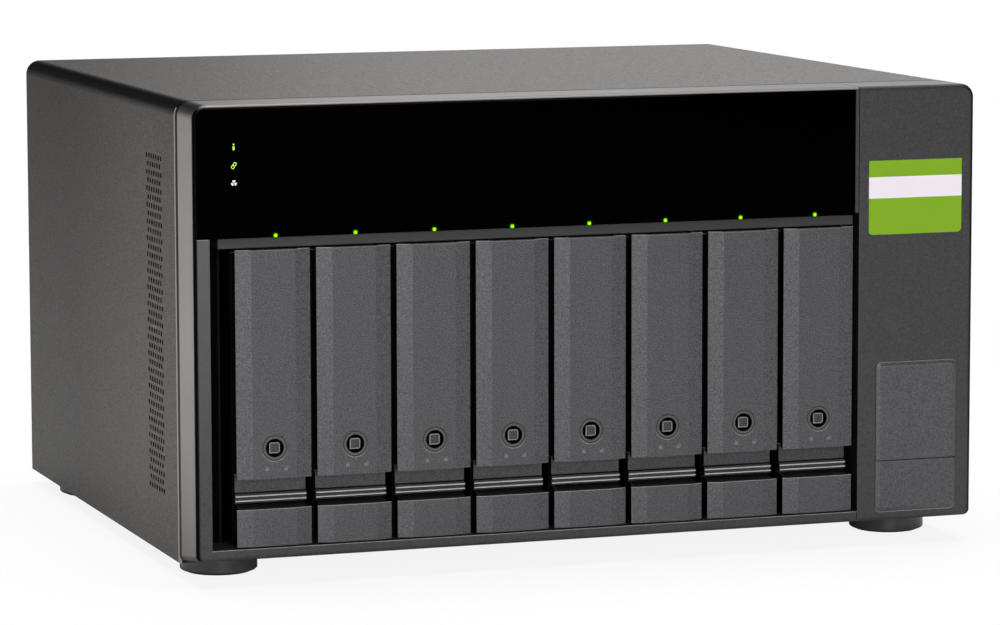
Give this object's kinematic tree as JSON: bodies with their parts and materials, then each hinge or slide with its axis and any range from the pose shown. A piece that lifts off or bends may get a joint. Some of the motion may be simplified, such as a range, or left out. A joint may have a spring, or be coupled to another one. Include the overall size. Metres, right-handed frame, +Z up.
{
  "type": "disk shelf enclosure",
  "caption": "Free-standing desktop disk enclosure: metal case on round feet, gloss dark fascia, and a row of upright lockable drive trays with hinged handles.",
  "frame": {"origin": "on the floor under the middle of the bounding box", "axes": "+X to the right seen from the front, +Y towards the back, +Z up"},
  "size_m": [0.3292, 0.2796, 0.1882],
  "materials": {
    "black_plastic": "moulded",
    "cage_steel": "galvanised",
    "circuit_board": "solder mask",
    "cover_sheet": "fine textured powder coat",
    "dark_trim": "matt",
    "fan_plastic": "moulded",
    "foot_plastic": "gloss",
    "front_moulding": "fine spark-eroded grain",
    "gloss_fascia": "high gloss",
    "label_film": "printed film",
    "lamp_lens": "clear lens, lit green",
    "lock_plastic": "satin",
    "pad_rubber": "matt",
    "pillar_cover": "fine grain",
    "port_shell": "plated",
    "screw_metal": "dark plated",
    "supply_case": "plain sheet case",
    "tray_moulding": "fine spark-eroded grain"
  },
  "bodies": {
    "chassis": {"bezel_frame": "front_moulding", "bezel_pillar": "front_moulding", "fascia_panel": "gloss_fascia", "header_bar": "dark_trim", "indicator_lenses": "lamp_lens", "insert_lower": "pillar_cover", "insert_upper": "pillar_cover", "info_label": "label_film", "top_cover": "cover_sheet", "base_pan": "cage_steel", "rear_panel": "cover_sheet", "cage_plates": "cage_steel", "cage_sides": "cage_steel", "backplane_board": "circuit_board", "drive_connectors": "black_plastic", "control_board": "circuit_board", "usb_port": "port_shell", "power_supply": "supply_case", "ac_inlet": "black_plastic", "fan_frames": "fan_plastic", "feet": "foot_plastic", "foot_pads": "pad_rubber", "chassis_screws": "screw_metal"},
    "tray_1": {"tray_carrier_1": "tray_moulding"},
    "handle_1": {"tray_handle_1": "tray_moulding"},
    "lock_1": {"tray_lock_1": "lock_plastic"},
    "catch_1": {"tray_catch_1": "tray_moulding"},
    "tray_2": {"tray_carrier_2": "tray_moulding"},
    "handle_2": {"tray_handle_2": "tray_moulding"},
    "lock_2": {"tray_lock_2": "lock_plastic"},
    "catch_2": {"tray_catch_2": "tray_moulding"},
    "tray_3": {"tray_carrier_3": "tray_moulding"},
    "handle_3": {"tray_handle_3": "tray_moulding"},
    "lock_3": {"tray_lock_3": "lock_plastic"},
    "catch_3": {"tray_catch_3": "tray_moulding"},
    "tray_4": {"tray_carrier_4": "tray_moulding"},
    "handle_4": {"tray_handle_4": "tray_moulding"},
    "lock_4": {"tray_lock_4": "lock_plastic"},
    "catch_4": {"tray_catch_4": "tray_moulding"},
    "tray_5": {"tray_carrier_5": "tray_moulding"},
    "handle_5": {"tray_handle_5": "tray_moulding"},
    "lock_5": {"tray_lock_5": "lock_plastic"},
    "catch_5": {"tray_catch_5": "tray_moulding"},
    "tray_6": {"tray_carrier_6": "tray_moulding"},
    "handle_6": {"tray_handle_6": "tray_moulding"},
    "lock_6": {"tray_lock_6": "lock_plastic"},
    "catch_6": {"tray_catch_6": "tray_moulding"},
    "tray_7": {"tray_carrier_7": "tray_moulding"},
    "handle_7": {"tray_handle_7": "tray_moulding"},
    "lock_7": {"tray_lock_7": "lock_plastic"},
    "catch_7": {"tray_catch_7": "tray_moulding"},
    "tray_8": {"tray_carrier_8": "tray_moulding"},
    "handle_8": {"tray_handle_8": "tray_moulding"},
    "lock_8": {"tray_lock_8": "lock_plastic"},
    "catch_8": {"tray_catch_8": "tray_moulding"},
    "fan_rotor_left": {"fan_rotor_left": "fan_plastic"},
    "fan_rotor_right": {"fan_rotor_right": "fan_plastic"},
    "power_rocker": {"power_switch": "black_plastic"},
    "selector_knob": {"fan_selector": "black_plastic"}
  },
  "joints": [
    {"name": "tray_1_slide", "type": "slide", "parent": "chassis", "child": "tray_1", "axis": [0, -1, 0], "range_m": [0, 0.175]},
    {"name": "tray_2_slide", "type": "slide", "parent": "chassis", "child": "tray_2", "axis": [0, -1, 0], "range_m": [0, 0.175]},
    {"name": "tray_3_slide", "type": "slide", "parent": "chassis", "child": "tray_3", "axis": [0, -1, 0], "range_m": [0, 0.175]},
    {"name": "tray_4_slide", "type": "slide", "parent": "chassis", "child": "tray_4", "axis": [0, -1, 0], "range_m": [0, 0.175]},
    {"name": "tray_5_slide", "type": "slide", "parent": "chassis", "child": "tray_5", "axis": [0, -1, 0], "range_m": [0, 0.175]},
    {"name": "tray_6_slide", "type": "slide", "parent": "chassis", "child": "tray_6", "axis": [0, -1, 0], "range_m": [0, 0.175]},
    {"name": "tray_7_slide", "type": "slide", "parent": "chassis", "child": "tray_7", "axis": [0, -1, 0], "range_m": [0, 0.175]},
    {"name": "tray_8_slide", "type": "slide", "parent": "chassis", "child": "tray_8", "axis": [0, -1, 0], "range_m": [0, 0.175]},
    {"name": "fan_left_spin", "type": "hinge", "parent": "chassis", "child": "fan_rotor_left", "pos_m": [-0.08319, 0.1235, 0.088], "axis": [0, 1, 0], "continuous": true},
    {"name": "fan_right_spin", "type": "hinge", "parent": "chassis", "child": "fan_rotor_right", "pos_m": [0.03831, 0.1235, 0.088], "axis": [0, 1, 0], "continuous": true},
    {"name": "power_rocker_tip", "type": "hinge", "parent": "chassis", "child": "power_rocker", "pos_m": [0.13886, 0.132, 0.04], "axis": [-1, 0, 0], "range_deg": [0, 18]},
    {"name": "fan_selector_slide", "type": "slide", "parent": "chassis", "child": "selector_knob", "axis": [0, 0, 1], "range_m": [0, 0.006]},
    {"name": "handle_1_hinge", "type": "hinge", "parent": "tray_1", "child": "handle_1", "pos_m": [-0.13286, -0.1358, 0.1255], "axis": [-1, 0, 0], "range_deg": [0, 60]},
    {"name": "handle_2_hinge", "type": "hinge", "parent": "tray_2", "child": "handle_2", "pos_m": [-0.10009, -0.1358, 0.1255], "axis": [-1, 0, 0], "range_deg": [0, 60]},
    {"name": "handle_3_hinge", "type": "hinge", "parent": "tray_3", "child": "handle_3", "pos_m": [-0.06731, -0.1358, 0.1255], "axis": [-1, 0, 0], "range_deg": [0, 60]},
    {"name": "handle_4_hinge", "type": "hinge", "parent": "tray_4", "child": "handle_4", "pos_m": [-0.03454, -0.1358, 0.1255], "axis": [-1, 0, 0], "range_deg": [0, 60]},
    {"name": "handle_5_hinge", "type": "hinge", "parent": "tray_5", "child": "handle_5", "pos_m": [-0.00176, -0.1358, 0.1255], "axis": [-1, 0, 0], "range_deg": [0, 60]},
    {"name": "handle_6_hinge", "type": "hinge", "parent": "tray_6", "child": "handle_6", "pos_m": [0.03101, -0.1358, 0.1255], "axis": [-1, 0, 0], "range_deg": [0, 60]},
    {"name": "handle_7_hinge", "type": "hinge", "parent": "tray_7", "child": "handle_7", "pos_m": [0.06379, -0.1358, 0.1255], "axis": [-1, 0, 0], "range_deg": [0, 60]},
    {"name": "handle_8_hinge", "type": "hinge", "parent": "tray_8", "child": "handle_8", "pos_m": [0.09656, -0.1358, 0.1255], "axis": [-1, 0, 0], "range_deg": [0, 60]},
    {"name": "lock_1_turn", "type": "hinge", "parent": "handle_1", "child": "lock_1", "pos_m": [-0.13286, -0.139, 0.0541], "axis": [0, 1, 0], "range_deg": [0, 90]},
    {"name": "lock_2_turn", "type": "hinge", "parent": "handle_2", "child": "lock_2", "pos_m": [-0.10009, -0.139, 0.0541], "axis": [0, 1, 0], "range_deg": [0, 90]},
    {"name": "lock_3_turn", "type": "hinge", "parent": "handle_3", "child": "lock_3", "pos_m": [-0.06731, -0.139, 0.0541], "axis": [0, 1, 0], "range_deg": [0, 90]},
    {"name": "lock_4_turn", "type": "hinge", "parent": "handle_4", "child": "lock_4", "pos_m": [-0.03454, -0.139, 0.0541], "axis": [0, 1, 0], "range_deg": [0, 90]},
    {"name": "lock_5_turn", "type": "hinge", "parent": "handle_5", "child": "lock_5", "pos_m": [-0.00176, -0.139, 0.0541], "axis": [0, 1, 0], "range_deg": [0, 90]},
    {"name": "lock_6_turn", "type": "hinge", "parent": "handle_6", "child": "lock_6", "pos_m": [0.03101, -0.139, 0.0541], "axis": [0, 1, 0], "range_deg": [0, 90]},
    {"name": "lock_7_turn", "type": "hinge", "parent": "handle_7", "child": "lock_7", "pos_m": [0.06379, -0.139, 0.0541], "axis": [0, 1, 0], "range_deg": [0, 90]},
    {"name": "lock_8_turn", "type": "hinge", "parent": "handle_8", "child": "lock_8", "pos_m": [0.09656, -0.139, 0.0541], "axis": [0, 1, 0], "range_deg": [0, 90]},
    {"name": "catch_1_press", "type": "slide", "parent": "tray_1", "child": "catch_1", "axis": [0, 1, 0], "range_m": [0, 0.0015], "stiffness_N_per_m": 400, "springref_m": -0.002},
    {"name": "catch_2_press", "type": "slide", "parent": "tray_2", "child": "catch_2", "axis": [0, 1, 0], "range_m": [0, 0.0015], "stiffness_N_per_m": 400, "springref_m": -0.002},
    {"name": "catch_3_press", "type": "slide", "parent": "tray_3", "child": "catch_3", "axis": [0, 1, 0], "range_m": [0, 0.0015], "stiffness_N_per_m": 400, "springref_m": -0.002},
    {"name": "catch_4_press", "type": "slide", "parent": "tray_4", "child": "catch_4", "axis": [0, 1, 0], "range_m": [0, 0.0015], "stiffness_N_per_m": 400, "springref_m": -0.002},
    {"name": "catch_5_press", "type": "slide", "parent": "tray_5", "child": "catch_5", "axis": [0, 1, 0], "range_m": [0, 0.0015], "stiffness_N_per_m": 400, "springref_m": -0.002},
    {"name": "catch_6_press", "type": "slide", "parent": "tray_6", "child": "catch_6", "axis": [0, 1, 0], "range_m": [0, 0.0015], "stiffness_N_per_m": 400, "springref_m": -0.002},
    {"name": "catch_7_press", "type": "slide", "parent": "tray_7", "child": "catch_7", "axis": [0, 1, 0], "range_m": [0, 0.0015], "stiffness_N_per_m": 400, "springref_m": -0.002},
    {"name": "catch_8_press", "type": "slide", "parent": "tray_8", "child": "catch_8", "axis": [0, 1, 0], "range_m": [0, 0.0015], "stiffness_N_per_m": 400, "springref_m": -0.002}
  ]
}
